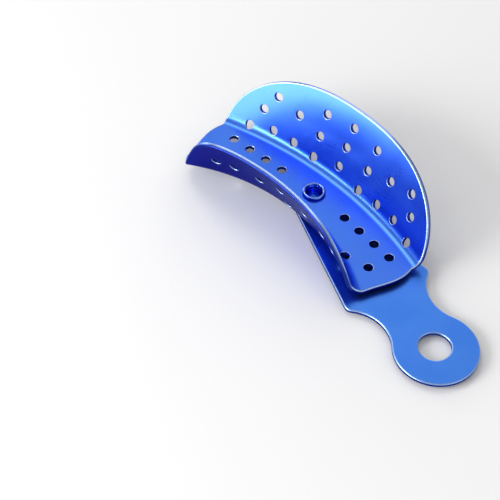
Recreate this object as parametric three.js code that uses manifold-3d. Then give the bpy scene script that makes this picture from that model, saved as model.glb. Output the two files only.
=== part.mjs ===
// Impression tray: a perforated sheet trough on a flat handle plate that swivels about one rivet.
// Millimetres, +Z up. The origin is the centre of the rivet head's flat underside, on the swivel axis.
// +X runs along the chord of the curved trough and +Y points to its tall outer wall.
import * as THREE from "three";
import { mergeVertices } from "three/addons/utils/BufferGeometryUtils.js";
import Module from "manifold-3d";

// Stack on the swivel axis, from the bottom up.
const SHEET = 1.2;
const HEAD_THICKNESS = 0.8;
const WASHER_THICKNESS = 0.9;
const FACE_GAP = 0.05;
const HANDLE_Z = HEAD_THICKNESS + FACE_GAP;
const WASHER_Z = HANDLE_Z + SHEET + FACE_GAP;
const FLOOR_Z = WASHER_Z + WASHER_THICKNESS + FACE_GAP + SHEET;

// Rivet, washer and the holes that they pass through.
const HEAD_RADIUS = 3.7;
const HEAD_FLAT_RADIUS = 3.0;
const SHANK_RADIUS = 2.2;
const RIM_RADIUS = 3.0;
const RIM_HEIGHT = 0.9;
const CUP_MOUTH_RADIUS = 2.15;
const CUP_MOUTH_DEPTH = 1;
const CUP_RADIUS = 1.75;
const CUP_FLOOR_Z = 1.6;
const PIVOT_HOLE_RADIUS = 2.35;
const WASHER_RADIUS = 4.2;

// Trough. A tall wall and a lower flange bend up from a flat floor along two arcs and lean outward.
// p runs from -1 to 1 along each arc. apex is the y of the arc's middle, radius its plan radius and
// reach its half width along X. skew turns the whole side along its arc, in degrees. lean is in degrees
// from upright at p = 0, and less by leanLoss at p = 1. The free edge is
// rise * (1 - |p|^squareness)^sharpness above the floor. END_BULGE is how much of the half width the
// floor's ends swell past the straight line between the two arcs' ends. They swell as v^2 (1 - v), with v
// from the flange to the wall, and END_BULGE_PEAK is the most that that reaches.
const BEND_RADIUS = 3;
const WALL = {
  side: 1, apex: 7.3, radius: 106, reach: 34.4, skew: 0,
  lean: 24, leanLoss: 0, rise: 18.3, squareness: 2.67, sharpness: 0.54,
};
const FLANGE = {
  side: -1, apex: -6.9, radius: 50.6, reach: 29.8, skew: -0.9,
  lean: 24, leanLoss: 9, rise: 15.9, squareness: 9, sharpness: 1,
};
const END_BULGE = 0.033;
const END_BULGE_PEAK = 4 / 27;

// Perforations. Each [x, z] on a side is its place along X and its height above the floor.
const PERFORATION_RADIUS = 1.2;
const PERFORATION_SIDES = 10;
const DRILL_LENGTH = 3 * SHEET;
const WALL_HOLES = [[0, 3.4], [0, 8.6], [0, 13.9], [7.9, 1.6], [8.1, 7.2], [8.2, 13],
  [14.6, 2.1], [15.3, 9.2], [21, 2.4], [22.1, 10.9], [27.7, 1.2], [25, 6.5]];
const FLANGE_HOLES = [[0, 3.1], [0, 10.6], [8.5, 8], [16.6, 7.8], [21.8, 7.4]];
const FLOOR_ROW = { count: 4, x: 11.2, y: -0.4, stepX: 5.47, stepY: -0.46 };
const FLOOR_EXTRA_HOLES = [[26.2, -7.8], [19.8, -9.3]];

// Handle plate, drawn along its own X with the swivel axis at 0, then turned to its rest angle.
const HANDLE_REST_ANGLE = -13.4;
const HANDLE_END_RADIUS = 5.7;
const HANDLE_TAPER = 10.65;
const NECK_X = 43.2;
const NECK_RADIUS = 10.3;
const SHOULDER_RADIUS = 2;
const DISC_X = 54.2;
const DISC_RADIUS = 10.5;
const FINGER_HOLE_X = 53.7;
const FINGER_HOLE_RADIUS = 4;

const COLUMNS = 40;
const BEND_STEPS = 4;
const FLOOR_STEPS = 4;
const ROUND_SIDES = 28;
const CIRCLE_DIVISIONS = 14;
const HANDLE_ARC_DIVISIONS = 12;
const RIM_STEPS = 5;
const MERGE_DISTANCE = 1e-4;

const wasm = await Module();
wasm.setup();

function toSolid(geometry) {
  const bare = geometry.index ? geometry.toNonIndexed() : geometry.clone();
  bare.deleteAttribute("normal");
  bare.deleteAttribute("uv");
  const merged = mergeVertices(bare, MERGE_DISTANCE);
  const corners = merged.index.array;
  const kept = [];
  for (let i = 0; i < corners.length; i += 3) {
    const [a, b, c] = corners.slice(i, i + 3);
    if (a !== b && b !== c && c !== a) {
      kept.push(a, b, c);
    }
  }
  const mesh = new wasm.Mesh({
    numProp: 3,
    vertProperties: new Float32Array(merged.attributes.position.array),
    triVerts: new Uint32Array(kept),
  });
  return new wasm.Manifold(mesh);
}

function toGeometry(solid) {
  const mesh = solid.getMesh();
  const geometry = new THREE.BufferGeometry();
  geometry.setAttribute("position", new THREE.BufferAttribute(mesh.vertProperties, 3));
  geometry.setIndex(new THREE.BufferAttribute(mesh.triVerts, 1));
  geometry.computeVertexNormals();
  return geometry;
}

// One side of the trough at p: the foot of its arc and the horizontal direction that it leans in.
function sideFoot(side, p) {
  const angle = p * Math.asin(side.reach / side.radius) + THREE.MathUtils.degToRad(side.skew);
  const sagitta = side.radius * (1 - Math.cos(angle));
  const foot = new THREE.Vector3(side.radius * Math.sin(angle), side.apex - sagitta, 0);
  const outward = new THREE.Vector3(Math.sin(angle), Math.cos(angle), 0).multiplyScalar(side.side);
  return { foot, outward };
}

// How far the bend turns at p, how much flat it takes from each leg, and its length.
function bendAt(side, p) {
  const lean = THREE.MathUtils.degToRad(side.lean - side.leanLoss * p * p);
  const turn = Math.PI / 2 - lean;
  return { lean, turn, setback: BEND_RADIUS * Math.tan(turn / 2), length: BEND_RADIUS * turn };
}

// Distance up the sheet from the start of the bend to a height above the floor.
function climb(side, p, height) {
  const { lean, setback, length } = bendAt(side, p);
  return height / Math.cos(lean) - setback + length;
}

function sideLength(side, p) {
  const outline = Math.max(0, 1 - Math.pow(Math.abs(p), side.squareness));
  return climb(side, p, side.rise) * Math.pow(outline, side.sharpness);
}

// Inner face of one side, t up the sheet from the start of the bend. The normal points out of the trough.
function sidePoint(side, p, t) {
  const { foot, outward } = sideFoot(side, p);
  const { turn, setback, length } = bendAt(side, p);
  const angle = Math.min(t / BEND_RADIUS, turn);
  const straight = Math.max(0, t - length);
  const along = BEND_RADIUS * Math.sin(angle) - setback + straight * Math.cos(angle);
  const up = BEND_RADIUS * (1 - Math.cos(angle)) + straight * Math.sin(angle);
  const point = foot.addScaledVector(outward, along);
  point.z = FLOOR_Z + up;
  const normal = outward.clone().multiplyScalar(Math.sin(angle));
  normal.z = -Math.cos(angle);
  return { point, normal };
}

function floorPoint(p, v) {
  const reach = p * (1 + (END_BULGE * v * v * (1 - v)) / END_BULGE_PEAK);
  const start = sidePoint(FLANGE, reach, 0).point;
  const end = sidePoint(WALL, reach, 0).point;
  return { point: start.lerp(end, v), normal: new THREE.Vector3(0, 0, -1) };
}

function sideRows(side) {
  const rows = [];
  for (let i = 1; i <= BEND_STEPS; i++) {
    const bendPart = (p) => (bendAt(side, p).length * i) / BEND_STEPS;
    rows.push((p) => sidePoint(side, p, Math.min(bendPart(p), sideLength(side, p))));
  }
  rows.push((p) => sidePoint(side, p, sideLength(side, p)));
  return rows;
}

// The whole sheet as rows of points, from the flange's free edge over the floor to the wall's free edge.
function troughRows() {
  const rows = sideRows(FLANGE).reverse();
  for (let i = 0; i <= FLOOR_STEPS; i++) {
    rows.push((p) => floorPoint(p, i / FLOOR_STEPS));
  }
  return rows.concat(sideRows(WALL));
}

function troughGeometry() {
  const faces = [[], []];
  for (const row of troughRows()) {
    const inner = [];
    const outer = [];
    for (let i = 0; i <= COLUMNS; i++) {
      const p = Math.sin((Math.PI / 2) * ((2 * i) / COLUMNS - 1));
      const { point, normal } = row(p);
      inner.push(point);
      outer.push(point.clone().addScaledVector(normal, SHEET));
    }
    faces[0].push(inner);
    faces[1].push(outer);
  }
  const vertices = [];
  const quad = (a, b, c, d) => vertices.push(a, b, c, a, c, d);
  const [inner, outer] = faces;
  const last = inner.length - 1;
  for (let j = 0; j < last; j++) {
    for (let i = 0; i < COLUMNS; i++) {
      quad(inner[j][i], inner[j][i + 1], inner[j + 1][i + 1], inner[j + 1][i]);
      quad(outer[j][i], outer[j + 1][i], outer[j + 1][i + 1], outer[j][i + 1]);
    }
    quad(inner[j][0], inner[j + 1][0], outer[j + 1][0], outer[j][0]);
    quad(inner[j][COLUMNS], outer[j][COLUMNS], outer[j + 1][COLUMNS], inner[j + 1][COLUMNS]);
  }
  for (let i = 0; i < COLUMNS; i++) {
    quad(inner[0][i], outer[0][i], outer[0][i + 1], inner[0][i + 1]);
    quad(inner[last][i], inner[last][i + 1], outer[last][i + 1], outer[last][i]);
  }
  return new THREE.BufferGeometry().setFromPoints(vertices);
}

// A round cutter centred in the sheet's thickness, with its axis along the sheet's normal.
function drill(place, radius, sides) {
  const geometry = new THREE.CylinderGeometry(radius, radius, DRILL_LENGTH, sides);
  const up = new THREE.Vector3(0, 1, 0);
  geometry.applyQuaternion(new THREE.Quaternion().setFromUnitVectors(up, place.normal));
  const centre = place.point.clone().addScaledVector(place.normal, SHEET / 2);
  geometry.translate(centre.x, centre.y, centre.z);
  return toSolid(geometry);
}

function sideHoles(side, holes) {
  const places = [];
  const skew = THREE.MathUtils.degToRad(side.skew);
  for (const [x, z] of holes) {
    for (const mirror of x === 0 ? [1] : [1, -1]) {
      const p = (Math.asin((mirror * x) / side.radius) - skew) / Math.asin(side.reach / side.radius);
      places.push(sidePoint(side, p, climb(side, p, z)));
    }
  }
  return places;
}

function floorHoles() {
  const half = [...FLOOR_EXTRA_HOLES];
  for (let i = 0; i < FLOOR_ROW.count; i++) {
    half.push([FLOOR_ROW.x + FLOOR_ROW.stepX * i, FLOOR_ROW.y + FLOOR_ROW.stepY * i]);
  }
  return half.flatMap(([x, y]) => [x, -x].map((place) => ({
    point: new THREE.Vector3(place, y, FLOOR_Z),
    normal: new THREE.Vector3(0, 0, -1),
  })));
}

function trayShell() {
  let solid = toSolid(troughGeometry());
  const places = [...sideHoles(WALL, WALL_HOLES), ...sideHoles(FLANGE, FLANGE_HOLES), ...floorHoles()];
  for (const place of places) {
    solid = solid.subtract(drill(place, PERFORATION_RADIUS, PERFORATION_SIDES));
  }
  const pivot = { point: new THREE.Vector3(0, 0, FLOOR_Z), normal: new THREE.Vector3(0, 0, -1) };
  solid = solid.subtract(drill(pivot, PIVOT_HOLE_RADIUS, ROUND_SIDES));
  return toGeometry(solid);
}

// The handle's outline as tangent arcs: round pivot end, tapered sides, shoulders, hollow neck and disc.
function handleShape() {
  const taper = THREE.MathUtils.degToRad(HANDLE_TAPER);
  const normal = new THREE.Vector2(-Math.sin(taper), Math.cos(taper));
  const along = new THREE.Vector2(Math.cos(taper), Math.sin(taper));
  const neckY = Math.sqrt((DISC_RADIUS + NECK_RADIUS) ** 2 - (DISC_X - NECK_X) ** 2);
  const neck = new THREE.Vector2(NECK_X, neckY);
  const toNeck = normal.clone().multiplyScalar(HANDLE_END_RADIUS - SHOULDER_RADIUS).sub(neck);
  const middle = toNeck.dot(along);
  const reach = (NECK_RADIUS + SHOULDER_RADIUS) ** 2 - toNeck.lengthSq() + middle ** 2;
  const shoulder = neck.clone().add(toNeck).addScaledVector(along, -middle - Math.sqrt(reach));
  const toShoulder = shoulder.clone().sub(neck).angle();
  const toDisc = new THREE.Vector2(DISC_X, 0).sub(neck).angle();
  const round = Math.PI / 2 + taper;
  const shape = new THREE.Shape();
  shape.absarc(0, 0, HANDLE_END_RADIUS, round, 2 * Math.PI - round, false);
  shape.absarc(shoulder.x, -shoulder.y, SHOULDER_RADIUS, -round, Math.PI - toShoulder, false);
  shape.absarc(NECK_X, -neckY, NECK_RADIUS, 2 * Math.PI - toShoulder, 2 * Math.PI - toDisc, true);
  shape.absarc(DISC_X, 0, DISC_RADIUS, Math.PI - toDisc, toDisc - Math.PI, false);
  shape.absarc(NECK_X, neckY, NECK_RADIUS, toDisc, toShoulder, true);
  shape.absarc(shoulder.x, shoulder.y, SHOULDER_RADIUS, toShoulder - Math.PI, round, false);
  return shape;
}

function circlePath(x, radius) {
  return new THREE.Path().absarc(x, 0, radius, 0, 2 * Math.PI, true);
}

function plate(shape, depth, curveSegments) {
  return toGeometry(toSolid(new THREE.ExtrudeGeometry(shape, { depth, curveSegments, bevelEnabled: false })));
}

function handlePlate() {
  const shape = handleShape();
  shape.holes.push(circlePath(0, PIVOT_HOLE_RADIUS), circlePath(FINGER_HOLE_X, FINGER_HOLE_RADIUS));
  return plate(shape, SHEET, HANDLE_ARC_DIVISIONS);
}

function spacerWasher() {
  const shape = new THREE.Shape().absarc(0, 0, WASHER_RADIUS, 0, 2 * Math.PI, false);
  shape.holes.push(circlePath(0, PIVOT_HOLE_RADIUS));
  return plate(shape, WASHER_THICKNESS, CIRCLE_DIVISIONS);
}

// Semi-tubular rivet: a low head below the handle, and a tube end rolled over into a rim on the floor.
function pivotRivet() {
  const rimZ = FLOOR_Z + FACE_GAP;
  const rimMiddle = (RIM_RADIUS + CUP_MOUTH_RADIUS) / 2;
  const profile = new THREE.Path().moveTo(0, 0);
  profile.lineTo(HEAD_FLAT_RADIUS, 0);
  profile.quadraticCurveTo(HEAD_RADIUS, 0, HEAD_RADIUS, HEAD_THICKNESS);
  profile.lineTo(SHANK_RADIUS, HEAD_THICKNESS);
  profile.lineTo(SHANK_RADIUS, rimZ);
  profile.lineTo(rimMiddle, rimZ);
  profile.absellipse(rimMiddle, rimZ + RIM_HEIGHT / 2, (RIM_RADIUS - CUP_MOUTH_RADIUS) / 2, RIM_HEIGHT / 2,
    -Math.PI / 2, Math.PI, false, 0);
  profile.quadraticCurveTo(CUP_RADIUS, rimZ, CUP_RADIUS, rimZ - CUP_MOUTH_DEPTH);
  profile.lineTo(CUP_RADIUS, CUP_FLOOR_Z + CUP_RADIUS);
  profile.quadraticCurveTo(CUP_RADIUS, CUP_FLOOR_Z, 0, CUP_FLOOR_Z);
  const geometry = new THREE.LatheGeometry(profile.getPoints(RIM_STEPS), ROUND_SIDES);
  geometry.rotateX(Math.PI / 2);
  return toGeometry(toSolid(geometry));
}

function addPart(group, name, geometry, color, roughness, z = 0, turn = 0) {
  const material = new THREE.MeshStandardMaterial({ color, roughness, metalness: 1 });
  const mesh = new THREE.Mesh(geometry, material);
  mesh.name = name;
  mesh.position.z = z;
  mesh.rotation.z = THREE.MathUtils.degToRad(turn);
  group.add(mesh);
}

const group = new THREE.Group();
addPart(group, "tray_shell", trayShell(), 0x2a62e0, 0.3);
addPart(group, "pivot_rivet", pivotRivet(), 0x2250d8, 0.2);
addPart(group, "spacer_washer", spacerWasher(), 0x2a62e0, 0.35, WASHER_Z);
addPart(group, "handle_plate", handlePlate(), 0x3f80ee, 0.35, HANDLE_Z, HANDLE_REST_ANGLE);

export default group;
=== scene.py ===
"""Perforated impression tray in blue anodised aluminium, on a pale studio floor.

The part's lengths are in millimetres until a mesh is made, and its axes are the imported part's. A sheet
piece is triangulated on its flat blank, mapped to its bent shape, and closed by rounded edges along its
outline and round every hole.
"""

import math

import bpy
import numpy as np
from mathutils import Matrix, Vector
from mathutils.geometry import delaunay_2d_cdt


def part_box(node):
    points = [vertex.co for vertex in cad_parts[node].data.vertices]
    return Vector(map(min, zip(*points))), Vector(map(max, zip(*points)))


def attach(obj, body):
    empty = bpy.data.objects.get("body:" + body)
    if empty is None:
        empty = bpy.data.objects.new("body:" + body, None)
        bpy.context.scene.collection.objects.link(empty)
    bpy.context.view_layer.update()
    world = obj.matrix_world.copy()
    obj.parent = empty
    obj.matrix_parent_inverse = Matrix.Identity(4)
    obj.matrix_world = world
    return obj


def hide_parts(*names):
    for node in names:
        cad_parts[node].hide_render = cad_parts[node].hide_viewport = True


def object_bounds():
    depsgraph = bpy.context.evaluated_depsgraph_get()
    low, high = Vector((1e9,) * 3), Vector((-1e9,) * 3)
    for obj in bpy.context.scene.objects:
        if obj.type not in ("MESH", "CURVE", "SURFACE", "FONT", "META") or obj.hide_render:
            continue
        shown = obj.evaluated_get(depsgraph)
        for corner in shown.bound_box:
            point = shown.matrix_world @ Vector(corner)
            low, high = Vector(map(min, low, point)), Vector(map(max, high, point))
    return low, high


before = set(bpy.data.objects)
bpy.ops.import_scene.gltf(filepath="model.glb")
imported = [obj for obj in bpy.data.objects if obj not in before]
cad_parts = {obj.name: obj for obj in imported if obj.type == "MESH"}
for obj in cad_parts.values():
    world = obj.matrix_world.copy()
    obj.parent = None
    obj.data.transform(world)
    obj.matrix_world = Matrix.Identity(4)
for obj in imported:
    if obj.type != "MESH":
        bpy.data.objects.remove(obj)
packed_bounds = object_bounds()

MM = 0.001


def box_mm(node):
    """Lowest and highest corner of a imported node, in millimetres."""
    low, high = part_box(node)
    return low / MM, high / MM


# Heights of the stack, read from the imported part.
HANDLE_LOW, HANDLE_HIGH = box_mm("handle_plate")
WASHER_LOW, WASHER_HIGH = box_mm("spacer_washer")
SHEET = HANDLE_HIGH.z - HANDLE_LOW.z
FLOOR_Z = box_mm("tray_shell")[0].z + SHEET
RIM_TOP_Z = box_mm("pivot_rivet")[1].z

# Trough: a tall wall and a lower flange bend up from a flat floor along two arcs and lean outward. Skew,
# lean and the lean lost towards the ends are in degrees. With p from -1 to 1 along an arc, the free edge
# is (1 - |p|^squareness)^sharpness of the way up to the rise.
BEND_RADIUS = 3
WALL = {
    "side": 1, "apex": 7.3, "radius": 106, "reach": 34.4, "skew": 0,
    "lean": 24, "lean_loss": 0, "rise": 18.3, "squareness": 2.67, "sharpness": 0.54,
}
FLANGE = {
    "side": -1, "apex": -6.9, "radius": 50.6, "reach": 29.8, "skew": -0.9,
    "lean": 24, "lean_loss": 9, "rise": 15.9, "squareness": 9, "sharpness": 1,
}
END_BULGE = 0.033
END_BULGE_PEAK = 4 / 27  # the largest s^2 (1 - s) for s from 0 to 1
CORNER_ROUNDING = 0.9

# Perforations. Each (x, z) on a side is its place along X and its height above the floor.
PERFORATION_RADIUS = 1.2
WALL_HOLES = [
    (0, 3.4), (0, 8.6), (0, 13.9), (7.9, 1.6), (8.1, 7.2), (8.2, 13),
    (14.6, 2.1), (15.3, 9.2), (21, 2.4), (22.1, 10.9), (27.7, 1.2), (25, 6.5),
]
FLANGE_HOLES = [(0, 3.1), (0, 10.6), (8.5, 8), (16.6, 7.8), (21.8, 7.4)]
FLOOR_ROW = {"count": 4, "x": 11.2, "y": -0.4, "step_x": 5.47, "step_y": -0.46}
FLOOR_EXTRA_HOLES = [(26.2, -7.8), (19.8, -9.3)]

# Rivet and washer.
PIVOT_HOLE_RADIUS = 2.35
WASHER_RADIUS = 4.2
HEAD_RADIUS = 3.7
HEAD_FLAT_RADIUS = 3.0
HEAD_THICKNESS = 0.8
HEAD_CHAMFER = 0.08
SHANK_RADIUS = 2.2
RIM_RADIUS = 3.0
RIM_HEIGHT = 0.9
CUP_MOUTH_RADIUS = 2.15
CUP_MOUTH_DEPTH = 1
CUP_RADIUS = 1.75
CUP_FLOOR_Z = 1.6
ROLL_POINTS = 25

# Handle plate, along its own X from the swivel axis.
HANDLE_REST_ANGLE = -13.4
HANDLE_END_RADIUS = 5.7
HANDLE_TAPER = 10.65
NECK_X = 43.2
NECK_RADIUS = 10.3
SHOULDER_RADIUS = 2
DISC_X = 54.2
DISC_RADIUS = 10.46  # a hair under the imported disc's, so that the rounder circle stays inside its facets
FINGER_HOLE_X = 53.7
FINGER_HOLE_RADIUS = 4

# Mesh density and edge rounding.
BLANK_REACH = 33
BLANK_FLOOR = 12
POINT_SPACING = 0.9
BEND_SPACING = 0.35
LOOP_SPACING = 0.4
HOLE_SPACING = 0.22
EDGE_ROUNDING = 0.34
HOLE_ROUNDING = 0.16
ROUND_STEPS = 4
LATHE_STEPS = 96
OUTLINE_SAMPLES = 400
OUTLINE_FINENESS = 4
TALLEST_SIDE = 24
NEWTON_STEPS = 8
NEWTON_NUDGE = 1e-4
WELD_DISTANCE = 1e-7

# Paled edges, partly real wear of the dye and partly a painted highlight. The top of an outer cut side is
# more pale the more it faces up, which is painted highlight: not at all while the upward part of its
# direction is under WEAR_AND_HIGHLIGHT_FROM, and by SIDE_WEAR_AND_HIGHLIGHT once that part is
# WEAR_AND_HIGHLIGHT_OVER more. The rivet's rim is paled from its top in the same way.
SIDE_WEAR_AND_HIGHLIGHT = 0.7
WEAR_AND_HIGHLIGHT_FROM = 0.3
WEAR_AND_HIGHLIGHT_OVER = 0.4
RIM_WEAR_AND_HIGHLIGHT_SHARE = 0.2  # of the rivet's rim, from its top

# Anodised finish: linear colours, and noise scales per millimetre.
# The deep colour below is painted shade for the backs and cut sides of the sheets.
PAINTED_SHADE_COLOUR = (0.01, 0.032, 0.28, 1)
CLOUD_SCALE = 0.09
GRIT_SCALE = 5.5
ROLLED_SCALE = 3.2
ROLLED_STRETCH = (0.06, 1, 1)
SCUFF_SCALE = 0.55
SCUFF_STRETCH = (0.12, 1.6, 1)
SCUFF_TURN = 37
ROLLED_ROUGHNESS = 0.012
CLOUD_ROUGHNESS = 0.02
SCUFF_ROUGHNESS = 0.06
GRIT_HEIGHT = 0.8
ROLLED_HEIGHT = 0.12
SCUFF_DEPTH = 0.3
BUMP_STRENGTH = 0.12
BUMP_DISTANCE = 0.02 * MM

# Studio. The floor's lengths are in metres.
FLOOR_REACH = 2.0
FLOOR_GAP = 0.02 * MM
WORLD_STRENGTH = 0.5

# Camera at the viewing angle: its place in metres, the way it is turned in degrees, its lens in millimetres.
CAMERA_PLACE = (0.15801, -0.18287, 0.27262)
CAMERA_AZIMUTH = 44.588
CAMERA_ELEVATION = 50.463
CAMERA_ROLL = 1.781
CAMERA_LENS = 101.68


# ---------------------------------------------------------------- sheet mapping


def unit(vectors):
    return vectors / np.linalg.norm(vectors, axis=-1, keepdims=True)


def bend(side, p):
    """Lean, turn, setback and length of a side's bend at p."""
    lean = np.radians(side["lean"] - side["lean_loss"] * p**2)
    turn = np.pi / 2 - lean
    return lean, turn, BEND_RADIUS * np.tan(turn / 2), BEND_RADIUS * turn


def climb(side, p, height):
    """Distance up the sheet from the start of the bend to a height above the floor."""
    lean, _, setback, length = bend(side, p)
    return height / np.cos(lean) - setback + length


def free_edge(side, p):
    outline = np.clip(1 - np.abs(p) ** side["squareness"], 0, None)
    return climb(side, p, side["rise"]) * outline ** side["sharpness"]


def side_place(side, p, t):
    """Inner face of one side, t up the sheet, and the direction through the sheet."""
    angle = p * math.asin(side["reach"] / side["radius"]) + math.radians(side["skew"])
    _, turn, setback, length = bend(side, p)
    curl = np.minimum(t / BEND_RADIUS, turn)
    straight = np.maximum(0, t - length)
    along = BEND_RADIUS * np.sin(curl) - setback + straight * np.cos(curl)
    up = BEND_RADIUS * (1 - np.cos(curl)) + straight * np.sin(curl)
    out_x = side["side"] * np.sin(angle)
    out_y = side["side"] * np.cos(angle)
    x = side["radius"] * np.sin(angle) + out_x * along
    y = side["apex"] - side["radius"] * (1 - np.cos(angle)) + out_y * along
    point = np.stack([x, y, FLOOR_Z + up], -1)
    through = np.stack([out_x * np.sin(curl), out_y * np.sin(curl), -np.cos(curl)], -1)
    return point, through


def tray_place(flat):
    """The trough's inner face over its blank: flange below 0, floor up to BLANK_FLOOR, then the wall."""
    p = flat[:, 0] / BLANK_REACH
    w = flat[:, 1]
    share = np.clip(w / BLANK_FLOOR, 0, 1)
    swollen = p * (1 + END_BULGE * share**2 * (1 - share) / END_BULGE_PEAK)
    flange, flange_through = side_place(FLANGE, swollen, np.maximum(0, -w))
    wall, wall_through = side_place(WALL, swollen, np.maximum(0, w - BLANK_FLOOR))
    share = share[:, None]
    return flange * (1 - share) + wall * share, flange_through * (1 - share) + wall_through * share


def face_normals(place, flat, step=0.01):
    """Unit normals of the face that place() maps the blank to."""
    across = place(flat + (step, 0))[0] - place(flat - (step, 0))[0]
    along = place(flat + (0, step))[0] - place(flat - (0, step))[0]
    return unit(np.cross(across, along))


# ---------------------------------------------------------------- loops on the blank


def closed_path(corners, spacing):
    """A closed path through corners, with evenly spaced points."""
    path = np.vstack([corners, corners[:1]])
    steps = np.linalg.norm(np.diff(path, axis=0), axis=1)
    reached = np.concatenate([[0], np.cumsum(steps)])
    places = np.linspace(0, reached[-1], max(12, round(reached[-1] / spacing)), endpoint=False)
    return np.stack([np.interp(places, reached, path[:, i]) for i in (0, 1)], -1)


def softened(loop, spacing, width):
    """The loop with its corners rounded by a running average of about that width."""
    reach = math.ceil(3 * width / spacing)
    offsets = np.arange(-reach, reach + 1)
    weights = np.exp(-0.5 * (offsets * spacing / width) ** 2)
    weights /= weights.sum()
    return sum(weight * np.roll(loop, offset, 0) for weight, offset in zip(weights, offsets))


def tray_outline():
    """Free edge of the blank, anticlockwise from the flange's left end."""
    p = np.sin(np.linspace(-np.pi / 2, np.pi / 2, OUTLINE_SAMPLES))
    x = p * BLANK_REACH
    flange = np.stack([x, -free_edge(FLANGE, p)], -1)
    wall = np.stack([x, BLANK_FLOOR + free_edge(WALL, p)], -1)
    spacing = LOOP_SPACING / OUTLINE_FINENESS
    fine = closed_path(np.vstack([flange, wall[::-1]]), spacing)
    return softened(fine, spacing, CORNER_ROUNDING)[::OUTLINE_FINENESS]


def circle(radius, spacing=HOLE_SPACING, x=0):
    """Clockwise, as a hole's loop runs."""
    count = max(16, round(2 * np.pi * radius / spacing))
    angles = -2 * np.pi * np.arange(count) / count
    return np.stack([x + radius * np.cos(angles), radius * np.sin(angles)], -1)


def side_holes(side, holes):
    """Punched holes of one side, round on the blank."""
    angle = math.asin(side["reach"] / side["radius"])
    loops = []
    for x, z in [(sign * x, z) for x, z in holes for sign in ((1, -1) if x else (1,))]:
        p = (math.asin(x / side["radius"]) - math.radians(side["skew"])) / angle
        t = climb(side, p, z)
        point, _ = side_place(side, np.array([p]), np.array([t]))
        plan_radius = math.hypot(point[0, 0], point[0, 1] - side["apex"] + side["radius"])
        around = circle(PERFORATION_RADIUS)
        place_x = BLANK_REACH * (p + around[:, 0] / (plan_radius * angle))
        place_y = (BLANK_FLOOR + t if side is WALL else -t) + around[:, 1]
        loops.append(np.stack([place_x, place_y], -1))
    return loops


def on_floor(around):
    """Places on the blank that map to points of the floor, by Newton's method."""
    flat = np.stack([around[:, 0], np.full(len(around), BLANK_FLOOR / 2)], -1)
    for _ in range(NEWTON_STEPS):
        here = tray_place(flat)[0][:, :2]
        across = (tray_place(flat + (NEWTON_NUDGE, 0))[0][:, :2] - here) / NEWTON_NUDGE
        along = (tray_place(flat + (0, NEWTON_NUDGE))[0][:, :2] - here) / NEWTON_NUDGE
        slopes = np.stack([across, along], -1)
        flat = flat + np.linalg.solve(slopes, (around - here)[:, :, None])[:, :, 0]
    return flat


def floor_holes():
    """Perforations of the floor, in mirrored pairs."""
    half = list(FLOOR_EXTRA_HOLES)
    for i in range(FLOOR_ROW["count"]):
        x = FLOOR_ROW["x"] + FLOOR_ROW["step_x"] * i
        y = FLOOR_ROW["y"] + FLOOR_ROW["step_y"] * i
        half.append((x, y))
    centres = [(sign * x, y) for x, y in half for sign in (1, -1)]
    return [on_floor(circle(PERFORATION_RADIUS) + centre) for centre in centres]


def tray_grid():
    """Rows of points over the blank, closer together in the two bends."""
    bend_length = BEND_RADIUS * np.pi / 2
    rows = np.concatenate([
        np.arange(-TALLEST_SIDE, -bend_length, POINT_SPACING),
        np.arange(-bend_length, 0, BEND_SPACING),
        np.arange(0, BLANK_FLOOR, POINT_SPACING),
        np.arange(BLANK_FLOOR, BLANK_FLOOR + bend_length, BEND_SPACING),
        np.arange(BLANK_FLOOR + bend_length, BLANK_FLOOR + TALLEST_SIDE, POINT_SPACING),
    ])
    columns = np.arange(-BLANK_REACH, BLANK_REACH, POINT_SPACING)
    return np.stack(np.meshgrid(columns, rows), -1).reshape(-1, 2)


# ---------------------------------------------------------------- meshes


def away_from_metal(loop):
    """Directions on the blank that point off the metal, for outlines anticlockwise and holes clockwise."""
    tangent = unit(np.roll(loop, -1, 0) - np.roll(loop, 1, 0))
    return np.stack([tangent[:, 1], -tangent[:, 0]], -1)


def inside(points, loop):
    """Even-odd test of points against a closed loop."""
    x, y = points[:, :1], points[:, 1:]
    ahead = np.roll(loop, -1, 0)
    crosses = (loop[:, 1] > y) != (ahead[:, 1] > y)
    rise = np.where(ahead[:, 1] == loop[:, 1], 1, ahead[:, 1] - loop[:, 1])
    meets = loop[:, 0] + (y - loop[:, 1]) * (ahead[:, 0] - loop[:, 0]) / rise
    return (crosses & (x < meets)).sum(1) % 2 == 1


def on_metal(points, loops):
    """Which points are inside the outline, the first loop, and outside every hole."""
    found = inside(points, loops[0])
    for loop in loops[1:]:
        found &= ~inside(points, loop)
    return found


def points_between(grid, loops):
    """The grid's points that lie on the metal, clear of every loop."""
    kept = grid[on_metal(grid, loops)]
    for loop in loops:
        gaps = np.linalg.norm(kept[:, None] - loop[None], axis=2).min(1)
        kept = kept[gaps > POINT_SPACING / 2]
    return kept


def triangulate(places, loops):
    """Triangles over the places, bounded by loops, which are the first places in order."""
    edges = []
    start = 0
    for loop in loops:
        count = len(loop)
        edges += [(start + i, start + (i + 1) % count) for i in range(count)]
        start += count
    whole_hull = 0
    with_origins = True
    flat_places = [Vector(p) for p in places]
    found = delaunay_2d_cdt(flat_places, edges, [], whole_hull, WELD_DISTANCE, with_origins)
    origin = [ids[0] for ids in found[3]]
    triangles = np.array([[origin[i] for i in face] for face in found[2]])
    triangles = triangles[on_metal(places[triangles].mean(1), loops)]
    a, b, c = (places[triangles[:, i]] for i in range(3))
    turned = np.cross(b - a, c - a) < 0
    triangles[turned] = triangles[turned][:, ::-1]
    return triangles


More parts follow.
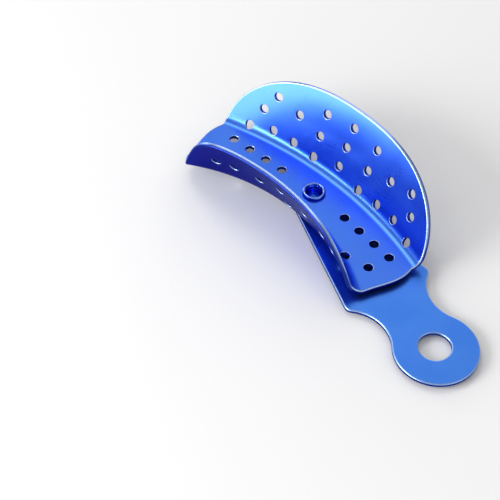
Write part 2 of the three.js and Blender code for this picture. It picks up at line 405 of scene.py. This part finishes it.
def mesh_object(name, points, faces, marks, normals=None):
    """A smooth mesh object from points in millimetres. Each mark has a value for every point."""
    mesh = bpy.data.meshes.new(name)
    mesh.from_pydata((np.asarray(points) * MM).tolist(), [], [list(map(int, face)) for face in faces])
    mesh.shade_smooth()
    if normals is not None:
        mesh.normals_split_custom_set_from_vertices(normals.tolist())
    for mark, values in marks.items():
        mesh.attributes.new(mark, "FLOAT", "POINT").data.foreach_set("value", values)
    made = bpy.data.objects.new(name, mesh)
    bpy.context.scene.collection.objects.link(made)
    return made


def sheet_marks(front_count, loop_counts, away):
    """Marks for a sheet's points: "edge" on edges paled partly as real wear and partly as a painted
    highlight, and "under" for painted shade on its back and its cut sides.

    A row of either array is one ring between the front and the back. Upper roundings, both roundings of a
    hole, and the top of an outer side that faces up are paled; the paling of a side's top by how much it
    faces up is a painted highlight. Holes keep no "under" on their roundings.
    """
    is_hole = np.repeat([0] + [1] * (len(loop_counts) - 1), loop_counts)
    edge = np.zeros((2 * ROUND_STEPS, len(is_hole)))
    under = np.zeros(edge.shape)
    side_top = ROUND_STEPS - 1
    side_foot = ROUND_STEPS
    # Painted highlight: the top of an outer side is paled more the more it faces up.
    faces_up = np.clip((away[:, 2] - WEAR_AND_HIGHLIGHT_FROM) / WEAR_AND_HIGHLIGHT_OVER, 0, 1) * (1 - is_hole)
    edge[:side_top] = 1
    edge[side_top] = SIDE_WEAR_AND_HIGHLIGHT * faces_up
    edge[side_foot + 1:] = is_hole
    # Painted shade: "under" gives the back and the cut sides a deep colour, except on a side's top that
    # faces up.
    under[side_top] = 1 - faces_up
    under[side_foot] = 1
    under[side_foot + 1:] = 1 - is_hole
    on_faces = {"edge": (0, 0), "under": (0, 1)}
    marks = {}
    for mark, rings in (("edge", edge), ("under", under)):
        front_and_back = np.repeat(on_faces[mark], front_count)
        marks[mark] = np.concatenate([front_and_back, rings.ravel()]).astype(np.float32)
    return marks


def neighbours(loops):
    """For each point of the loops in one row, the index of the point after it and of the one before."""
    after = []
    start = 0
    for loop in loops:
        after.append(start + np.roll(np.arange(len(loop)), -1))
        start += len(loop)
    after = np.concatenate(after)
    return after, np.argsort(after)


def edge_rings(point, through, away, facing, radius, thickness):
    """Rings of points round the sheet's edges, from its front to its back, and their normals."""
    quarter = np.linspace(0, np.pi / 2, ROUND_STEPS + 1)
    upper = [(angle, radius * (1 - np.cos(angle))) for angle in quarter]
    lower = [(angle, thickness - radius * (1 + np.cos(angle))) for angle in quarter + np.pi / 2]
    rings = []
    normals = []
    for angle, depth in upper + lower:
        rings.append(point - away * radius * (1 - np.sin(angle)) + through * depth)
        normals.append(facing * np.cos(angle) + away * np.sin(angle))
    return rings, normals


def sheet_faces(triangles, front_count, after, ring_count):
    """Faces of the front, the back, and the strips between rings; the first ring is the front's own."""
    rim_count = len(after)
    between = [2 * front_count + rim_count * i for i in range(ring_count - 2)]
    ring_starts = [0, *between, front_count]
    index = np.arange(rim_count)
    faces = [*triangles, *(triangles[:, ::-1] + front_count)]
    for upper, lower in zip(ring_starts, ring_starts[1:]):
        faces += [*np.stack([upper + index, lower + index, lower + after, upper + after], -1)]
    return faces


def sheet_object(name, place, outline, holes, grid, thickness, edge_rounding, hole_rounding):
    """A sheet of even thickness behind the face that place() gives, with rounded edges."""
    loops = [outline, *holes]
    loop_counts = [len(loop) for loop in loops]
    roundings = [edge_rounding] + [hole_rounding] * len(holes)
    insets = [loop - away_from_metal(loop) * r for loop, r in zip(loops, roundings)]
    inner = points_between(grid, insets)
    triangles = triangulate(np.vstack([*insets, inner]), insets)

    rim = np.vstack(loops)
    radius = np.repeat(roundings, loop_counts)[:, None]
    after, before = neighbours(loops)
    point, through = place(rim)
    facing = face_normals(place, rim)
    away = unit(np.cross(point[after] - point[before], facing))
    rings, ring_normals = edge_rings(point, through, away, facing, radius, thickness)

    inner_point, inner_through = place(inner)
    front = np.vstack([rings[0], inner_point])
    back = np.vstack([rings[-1], inner_point + inner_through * thickness])
    facing_front = np.vstack([ring_normals[0], face_normals(place, inner)])
    points = np.vstack([front, back, *rings[1:-1]])
    normals = np.vstack([facing_front, -facing_front, *ring_normals[1:-1]])
    faces = sheet_faces(triangles, len(front), after, len(rings))
    return mesh_object(name, points, faces, sheet_marks(len(front), loop_counts, away), normals)


def lathe_object(name, profile, wear_and_highlight_above):
    """A closed body turned about Z from (radius, height) points that start and end on the axis.

    Its points higher than the given height are marked "edge": paled partly as real wear and partly as a
    painted highlight.
    """
    profile = np.asarray(profile, float)
    angles = 2 * np.pi * np.arange(LATHE_STEPS) / LATHE_STEPS
    middle = profile[1:-1]
    radii = middle[:, 0]
    heights = middle[:, 1]
    around = np.stack([
        np.outer(radii, np.cos(angles)),
        np.outer(radii, np.sin(angles)),
        np.repeat(heights[:, None], LATHE_STEPS, 1),
    ], -1).reshape(-1, 3)
    points = np.vstack([around, [0, 0, profile[0, 1]], [0, 0, profile[-1, 1]]])
    first = len(points) - 2
    last = len(points) - 1
    top = (len(middle) - 1) * LATHE_STEPS
    faces = []
    for i in range(LATHE_STEPS):
        ahead = (i + 1) % LATHE_STEPS
        for row in range(0, top, LATHE_STEPS):
            above = row + LATHE_STEPS
            faces.append((row + i, row + ahead, above + ahead, above + i))
        faces.append((first, ahead, i))
        faces.append((last, top + i, top + ahead))
    marks = {"edge": (points[:, 2] > wear_and_highlight_above).astype(np.float32)}
    return mesh_object(name, points, faces, marks)


def turned_about_pivot(top_z, degrees=0):
    """Maps a flat blank to the top face of a level plate turned about the swivel axis."""
    cosine = math.cos(math.radians(degrees))
    sine = math.sin(math.radians(degrees))

    def place(flat):
        x = flat[:, 0]
        y = flat[:, 1]
        point = np.stack([cosine * x - sine * y, sine * x + cosine * y, np.full(len(flat), top_z)], -1)
        return point, np.tile((0.0, 0.0, -1.0), (len(flat), 1))

    return place


def arc(x, y, radius, start, end, clockwise=False):
    """Points along an arc, without its last one."""
    if clockwise:
        end = start - (start - end) % (2 * np.pi)
    else:
        end = start + (end - start) % (2 * np.pi)
    count = max(3, round(abs(end - start) * radius / LOOP_SPACING))
    angles = np.linspace(start, end, count, endpoint=False)
    return np.stack([x + radius * np.cos(angles), y + radius * np.sin(angles)], -1)


def handle_outline():
    """Round pivot end, tapered sides, shoulders, hollow neck and disc, as tangent arcs."""
    taper = math.radians(HANDLE_TAPER)
    normal = Vector((-math.sin(taper), math.cos(taper)))
    along = Vector((math.cos(taper), math.sin(taper)))
    neck_y = math.sqrt((DISC_RADIUS + NECK_RADIUS) ** 2 - (DISC_X - NECK_X) ** 2)
    neck = Vector((NECK_X, neck_y))
    to_neck = normal * (HANDLE_END_RADIUS - SHOULDER_RADIUS) - neck
    middle = to_neck.dot(along)
    reach = (NECK_RADIUS + SHOULDER_RADIUS) ** 2 - to_neck.length_squared + middle**2
    shoulder = neck + to_neck + along * (-middle - math.sqrt(reach))
    to_shoulder = math.atan2(shoulder.y - neck_y, shoulder.x - NECK_X)
    to_disc = math.atan2(-neck_y, DISC_X - NECK_X)
    turn = np.pi / 2 + taper
    corners = np.vstack([
        arc(0, 0, HANDLE_END_RADIUS, turn, -turn),
        arc(shoulder.x, -shoulder.y, SHOULDER_RADIUS, -turn, np.pi - to_shoulder),
        arc(NECK_X, -neck_y, NECK_RADIUS, -to_shoulder, -to_disc, clockwise=True),
        arc(DISC_X, 0, DISC_RADIUS, np.pi - to_disc, to_disc - np.pi),
        arc(NECK_X, neck_y, NECK_RADIUS, to_disc, to_shoulder, clockwise=True),
        arc(shoulder.x, shoulder.y, SHOULDER_RADIUS, to_shoulder - np.pi, turn),
    ])
    return closed_path(corners, LOOP_SPACING)


def plate_grid(outline, spacing):
    """Even rows of points over a flat outline."""
    low = outline.min(0)
    high = outline.max(0)
    columns = np.arange(low[0], high[0], spacing)
    rows = np.arange(low[1], high[1], spacing)
    return np.stack(np.meshgrid(columns, rows), -1).reshape(-1, 2)


def curve_points(start, control, end, count=12):
    """Quadratic curve, without its start."""
    t = np.linspace(0, 1, count + 1)[1:, None]
    start, control, end = map(np.array, (start, control, end))
    return (1 - t) ** 2 * start + 2 * t * (1 - t) * control + t**2 * end


def rivet_profile():
    """Semi-tubular rivet: low head, shank, and a tube end rolled over into a rim round a deep cup."""
    rim_z = RIM_TOP_Z - RIM_HEIGHT
    rim_middle = (RIM_RADIUS + CUP_MOUTH_RADIUS) / 2
    rim_width = (RIM_RADIUS - CUP_MOUTH_RADIUS) / 2
    angles = np.linspace(-np.pi / 2, np.pi, ROLL_POINTS)
    roll = np.stack([
        rim_middle + rim_width * np.cos(angles),
        rim_z + RIM_HEIGHT / 2 * (1 + np.sin(angles)),
    ], -1)
    return np.vstack([
        [(0, 0), (HEAD_FLAT_RADIUS / 2, 0), (HEAD_FLAT_RADIUS, 0)],
        curve_points((HEAD_FLAT_RADIUS, 0), (HEAD_RADIUS, 0), (HEAD_RADIUS, HEAD_THICKNESS - HEAD_CHAMFER)),
        [(HEAD_RADIUS - HEAD_CHAMFER, HEAD_THICKNESS), (SHANK_RADIUS, HEAD_THICKNESS)],
        [(SHANK_RADIUS, rim_z)],
        roll,
        curve_points(roll[-1], (CUP_RADIUS, rim_z), (CUP_RADIUS, rim_z - CUP_MOUTH_DEPTH)),
        curve_points((CUP_RADIUS, CUP_FLOOR_Z + CUP_RADIUS), (CUP_RADIUS, CUP_FLOOR_Z), (0, CUP_FLOOR_Z)),
    ])


def build_tray():
    holes = side_holes(WALL, WALL_HOLES) + side_holes(FLANGE, FLANGE_HOLES) + floor_holes()
    holes.append(on_floor(circle(PIVOT_HOLE_RADIUS)))
    return sheet_object(
        "tray_sheet", tray_place, tray_outline(), holes, tray_grid(), SHEET, EDGE_ROUNDING, HOLE_ROUNDING,
    )


def build_rivet():
    # The top of the rivet's rim is paled: partly real wear, partly a painted highlight.
    return lathe_object("rivet_turned", rivet_profile(), RIM_TOP_Z - RIM_WEAR_AND_HIGHLIGHT_SHARE * RIM_HEIGHT)


def build_handle():
    place = turned_about_pivot(HANDLE_HIGH.z, HANDLE_REST_ANGLE)
    outline = handle_outline()
    holes = [circle(PIVOT_HOLE_RADIUS), circle(FINGER_HOLE_RADIUS, LOOP_SPACING, FINGER_HOLE_X)]
    grid = plate_grid(outline, 3 * POINT_SPACING)
    return sheet_object("handle_sheet", place, outline, holes, grid, SHEET, EDGE_ROUNDING, EDGE_ROUNDING)


def build_washer():
    place = turned_about_pivot(WASHER_HIGH.z)
    outline = circle(WASHER_RADIUS)[::-1]
    holes = [circle(PIVOT_HOLE_RADIUS)]
    thickness = WASHER_HIGH.z - WASHER_LOW.z
    rounding = thickness / 4
    grid = plate_grid(outline, POINT_SPACING)
    return sheet_object("washer_ring", place, outline, holes, grid, thickness, rounding, rounding)


# ---------------------------------------------------------------- materials


def add(tree, kind, inputs=None, **settings):
    """A shader node with its settings, and its inputs set to values or linked to sockets."""
    made = tree.nodes.new(kind)
    for key, value in settings.items():
        setattr(made, key, value)
    for key, value in (inputs or {}).items():
        if isinstance(value, bpy.types.NodeSocket):
            tree.links.new(value, made.inputs[key])
        else:
            made.inputs[key].default_value = value
    return made


def millimetres(tree, stretch=(1, 1, 1), turn=0):
    """Object coordinates in millimetres, stretched along axes and turned about Z."""
    coordinates = add(tree, "ShaderNodeTexCoord")
    scale = [size / MM for size in stretch]
    turned = add(tree, "ShaderNodeMapping", {
        "Vector": coordinates.outputs["Object"],
        "Rotation": (0, 0, -math.radians(turn)),
    })
    return add(tree, "ShaderNodeMapping", {"Vector": turned.outputs[0], "Scale": scale}).outputs[0]


def noise(tree, vector, scale, detail):
    """Noise from 0 to 1, with features about 1 / scale of the vector's units apart."""
    inputs = {"Vector": vector, "Scale": scale, "Detail": detail}
    return add(tree, "ShaderNodeTexNoise", inputs).outputs["Fac"]


def remap(tree, value, low, high, to_low, to_high):
    """The value's range low to high, stretched to another range and clamped there."""
    inputs = {"Value": value, "From Min": low, "From Max": high, "To Min": to_low, "To Max": to_high}
    return add(tree, "ShaderNodeMapRange", inputs).outputs["Result"]


def math_node(tree, operation, a, b):
    return add(tree, "ShaderNodeMath", {0: a, 1: b}, operation=operation).outputs[0]


def mix_colour(tree, share, a, b):
    """Colour a where share is 0 and b where it is 1."""
    mixed = add(tree, "ShaderNodeMix", data_type="RGBA")
    sockets = {s.identifier: s for s in mixed.inputs}
    for identifier, value in (("Factor_Float", share), ("A_Color", a), ("B_Color", b)):
        if isinstance(value, bpy.types.NodeSocket):
            tree.links.new(value, sockets[identifier])
        else:
            sockets[identifier].default_value = value
    return next(s for s in mixed.outputs if s.identifier == "Result_Color")


def empty_material(name):
    """A material without nodes, and its node tree."""
    material = bpy.data.materials.new(name)
    material.use_nodes = True
    material.node_tree.nodes.clear()
    return material, material.node_tree


def anodised_colour(tree, colour, paler, wear_and_highlight, clouds, grit):
    """Cloudy dye, painted shade on backs and cut sides, and edges paled partly as real wear and partly as a
    painted highlight.
    """
    edge = add(tree, "ShaderNodeAttribute", attribute_name="edge").outputs["Fac"]
    under = add(tree, "ShaderNodeAttribute", attribute_name="under").outputs["Fac"]
    cloudy = mix_colour(tree, remap(tree, clouds, 0.35, 0.65, 0, 1), colour, paler)
    # Painted shade: the back and the cut sides take the deep colour.
    shaded = mix_colour(tree, under, cloudy, PAINTED_SHADE_COLOUR)
    # Paled edges: partly real wear of the dye, partly a painted highlight.
    wear_and_highlight_share = math_node(tree, "MULTIPLY", edge, remap(tree, grit, 0.35, 0.65, 0.4, 0.9))
    return mix_colour(tree, wear_and_highlight_share, shaded, wear_and_highlight)


def anodised_roughness(tree, roughness, lines, clouds, scratch):
    """Roughness about an even value, in the rolling lines and the clouds, and higher in scuffs."""
    along_lines = remap(tree, lines, 0.3, 0.7, roughness - ROLLED_ROUGHNESS, roughness + ROLLED_ROUGHNESS)
    in_clouds = remap(tree, clouds, 0.3, 0.7, -CLOUD_ROUGHNESS, CLOUD_ROUGHNESS)
    dulled = math_node(tree, "ADD", along_lines, in_clouds)
    return math_node(tree, "ADD", dulled, math_node(tree, "MULTIPLY", scratch, SCUFF_ROUGHNESS))


def anodised_bump(tree, grain, grit, lines, scratch):
    """Fine relief of the etched surface, its rolling lines and its scuffs."""
    relief = math_node(
        tree, "ADD",
        math_node(tree, "MULTIPLY", grit, GRIT_HEIGHT * grain),
        math_node(tree, "MULTIPLY", lines, ROLLED_HEIGHT * grain),
    )
    height = math_node(tree, "SUBTRACT", relief, math_node(tree, "MULTIPLY", scratch, SCUFF_DEPTH))
    inputs = {"Height": height, "Strength": BUMP_STRENGTH, "Distance": BUMP_DISTANCE}
    return add(tree, "ShaderNodeBump", inputs).outputs["Normal"]


def anodised(name, colour, paler, wear_and_highlight, roughness, rolling_angle, grain):
    """Dyed, sealed aluminium: rolled grain, cloudy dye, fine scuffs, edges paled partly as real wear and
    partly as a painted highlight, and painted shade on backs and cut sides.
    """
    material, tree = empty_material(name)
    plain = millimetres(tree)
    rolled = millimetres(tree, ROLLED_STRETCH, rolling_angle)
    crossing = millimetres(tree, SCUFF_STRETCH, rolling_angle + SCUFF_TURN)
    clouds = noise(tree, plain, CLOUD_SCALE, 3)
    grit = noise(tree, plain, GRIT_SCALE, 2)
    lines = noise(tree, rolled, ROLLED_SCALE, 3)
    scratch = remap(tree, noise(tree, crossing, SCUFF_SCALE, 4), 0.66, 0.72, 0, 1)
    shader = add(tree, "ShaderNodeBsdfPrincipled", {
        "Base Color": anodised_colour(tree, colour, paler, wear_and_highlight, clouds, grit),
        "Metallic": 1.0,
        "Roughness": anodised_roughness(tree, roughness, lines, clouds, scratch),
        "Normal": anodised_bump(tree, grain, grit, lines, scratch),
        "Specular Tint": (0.25, 0.3, 0.7, 1),
        "Coat Weight": 0.1,
        "Coat Roughness": 0.15,
        "Coat IOR": 1.6,
    })
    add(tree, "ShaderNodeOutputMaterial", {"Surface": shader.outputs[0]})
    return material


def floor_material():
    """Pale matt studio board with a faint tooth."""
    material, tree = empty_material("studio_board")
    tooth = noise(tree, millimetres(tree), 0.8, 3)
    colour = mix_colour(tree, tooth, (0.91, 0.91, 0.915, 1), (0.93, 0.93, 0.93, 1))
    shader = add(tree, "ShaderNodeBsdfPrincipled", {"Base Color": colour, "Roughness": 0.75})
    add(tree, "ShaderNodeOutputMaterial", {"Surface": shader.outputs[0]})
    return material


def dress(piece, material, body, node):
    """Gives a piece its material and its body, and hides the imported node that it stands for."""
    piece.data.materials.append(material)
    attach(piece, body)
    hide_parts(node)


# ---------------------------------------------------------------- studio


def build_floor():
    """Square board just under the lowest point of the part."""
    reach = FLOOR_REACH
    mesh = bpy.data.meshes.new("studio_floor")
    corners = [(-reach, -reach, 0), (reach, -reach, 0), (reach, reach, 0), (-reach, reach, 0)]
    mesh.from_pydata(corners, [], [(0, 1, 2, 3)])
    mesh.materials.append(floor_material())
    floor = bpy.data.objects.new("studio_floor", mesh)
    floor.location.z = packed_bounds[0].z - FLOOR_GAP
    bpy.context.scene.collection.objects.link(floor)


def softbox(name, azimuth, elevation, distance, width, height, radiance):
    """A rectangular light that faces the object, in degrees and metres. Azimuth 0 is the front."""
    across = math.radians(azimuth)
    up = math.radians(elevation)
    toward = Vector((math.sin(across) * math.cos(up), -math.cos(across) * math.cos(up), math.sin(up)))
    light = bpy.data.lights.new(name, "AREA")
    light.shape = "RECTANGLE"
    light.size = width
    light.size_y = height
    light.energy = radiance * math.pi * width * height
    lamp = bpy.data.objects.new(name, light)
    lamp.location = toward * distance
    lamp.rotation_euler = (-toward).to_track_quat("-Z", "Y").to_euler()
    lamp.visible_camera = False
    bpy.context.scene.collection.objects.link(lamp)


def build_lights():
    """Even white surroundings and seven softboxes."""
    world = bpy.data.worlds.new("studio")
    world.use_nodes = True
    background = world.node_tree.nodes["Background"]
    background.inputs["Color"].default_value = (1, 1, 1, 1)
    background.inputs["Strength"].default_value = WORLD_STRENGTH
    bpy.context.scene.world = world
    softbox("front_near", 350, 7, 0.26, 0.34, 0.065, 5)
    softbox("front_middle", 335, 27, 1, 0.6, 0.36, 9.5)
    softbox("left_low", 262, 14, 1, 0.5, 0.4, 2.2)
    softbox("left_high", 262, 60, 1, 0.35, 0.35, 3)
    softbox("back_left", 210, 8, 1, 0.5, 0.25, 3)
    softbox("right_low", 95, 20, 1, 0.7, 0.45, 0.6)
    softbox("overhead", 225, 50, 1, 0.7, 0.5, 0.42)


def build_camera():
    azimuth = math.radians(CAMERA_AZIMUTH)
    elevation = math.radians(CAMERA_ELEVATION)
    forward = Vector((
        -math.sin(azimuth) * math.cos(elevation),
        math.cos(azimuth) * math.cos(elevation),
        -math.sin(elevation),
    ))
    level = Vector((math.cos(azimuth), math.sin(azimuth), 0))
    right = Matrix.Rotation(math.radians(-CAMERA_ROLL), 3, forward) @ level
    up = right.cross(forward)
    camera = bpy.data.objects.new("camera", bpy.data.cameras.new("camera"))
    camera.data.lens = CAMERA_LENS
    camera.data.clip_start = 0.01
    camera.rotation_euler = Matrix((right, up, -forward)).transposed().to_euler()
    camera.location = CAMERA_PLACE
    bpy.context.scene.collection.objects.link(camera)
    bpy.context.scene.camera = camera


# The third colour of each finish pales edges: partly real wear, partly a painted highlight.
tray_metal = anodised(
    "tray_anodised",
    colour=(0.058, 0.19, 0.83, 1),
    paler=(0.07, 0.215, 0.87, 1),
    wear_and_highlight=(0.72, 0.89, 1, 1),
    roughness=0.29,
    rolling_angle=0,
    grain=1.0,
)
handle_metal = anodised(
    "handle_anodised",
    colour=(0.06, 0.24, 0.87, 1),
    paler=(0.075, 0.27, 0.91, 1),
    wear_and_highlight=(0.5, 0.7, 1, 1),
    roughness=0.31,
    rolling_angle=HANDLE_REST_ANGLE,
    grain=1.5,
)
rivet_metal = anodised(
    "rivet_anodised",
    colour=(0.045, 0.15, 0.76, 1),
    paler=(0.06, 0.19, 0.82, 1),
    wear_and_highlight=(0.36, 0.52, 1, 1),
    roughness=0.12,
    rolling_angle=0,
    grain=0.5,
)

dress(build_tray(), tray_metal, "tray", "tray_shell")
dress(build_rivet(), rivet_metal, "tray", "pivot_rivet")
dress(build_washer(), rivet_metal, "tray", "spacer_washer")
dress(build_handle(), handle_metal, "handle", "handle_plate")

build_floor()
build_lights()
build_camera()
bpy.context.scene.view_settings.view_transform = "Standard"
